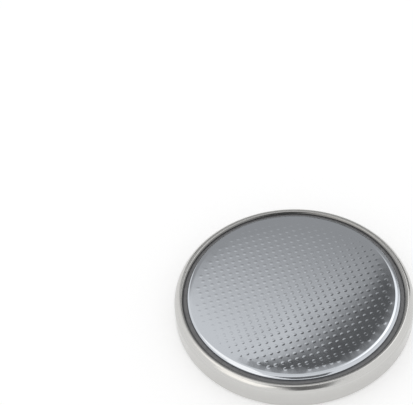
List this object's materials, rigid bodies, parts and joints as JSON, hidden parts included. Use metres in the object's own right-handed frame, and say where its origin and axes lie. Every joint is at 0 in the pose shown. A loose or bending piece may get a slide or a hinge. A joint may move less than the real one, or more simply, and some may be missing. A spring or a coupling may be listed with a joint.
{
  "type": "lithium coin cell",
  "caption": "Flat round lithium coin cell: a crimped steel can, a stepped cap with an embossed face, a plastic seal between them and the electrodes inside.",
  "frame": {"origin": "centre of the can's outside floor, the positive face, on which the cell rests", "axes": "+Z along the cell's axis, from the positive can to the negative cap; +Y from the axis towards the polarity cross on the positive face"},
  "size_m": [0.02, 0.02, 0.0025],
  "materials": {
    "can_steel": "satin nickel over steel",
    "cap_steel": "satin nickel over steel, finely embossed face",
    "gasket_plastic": "moulded polypropylene, sealant coated",
    "ring_steel": "pressed stainless steel",
    "cathode_powder": "pressed powder, matt",
    "separator_felt": "non-woven felt",
    "lithium_foil": "soft bare metal"
  },
  "bodies": {
    "root": {"positive_can": "can_steel", "negative_cap": "cap_steel", "sealing_gasket": "gasket_plastic", "cathode_ring": "ring_steel", "cathode_pellet": "cathode_powder", "separator": "separator_felt", "lithium_anode": "lithium_foil"}
  },
  "joints": []
}
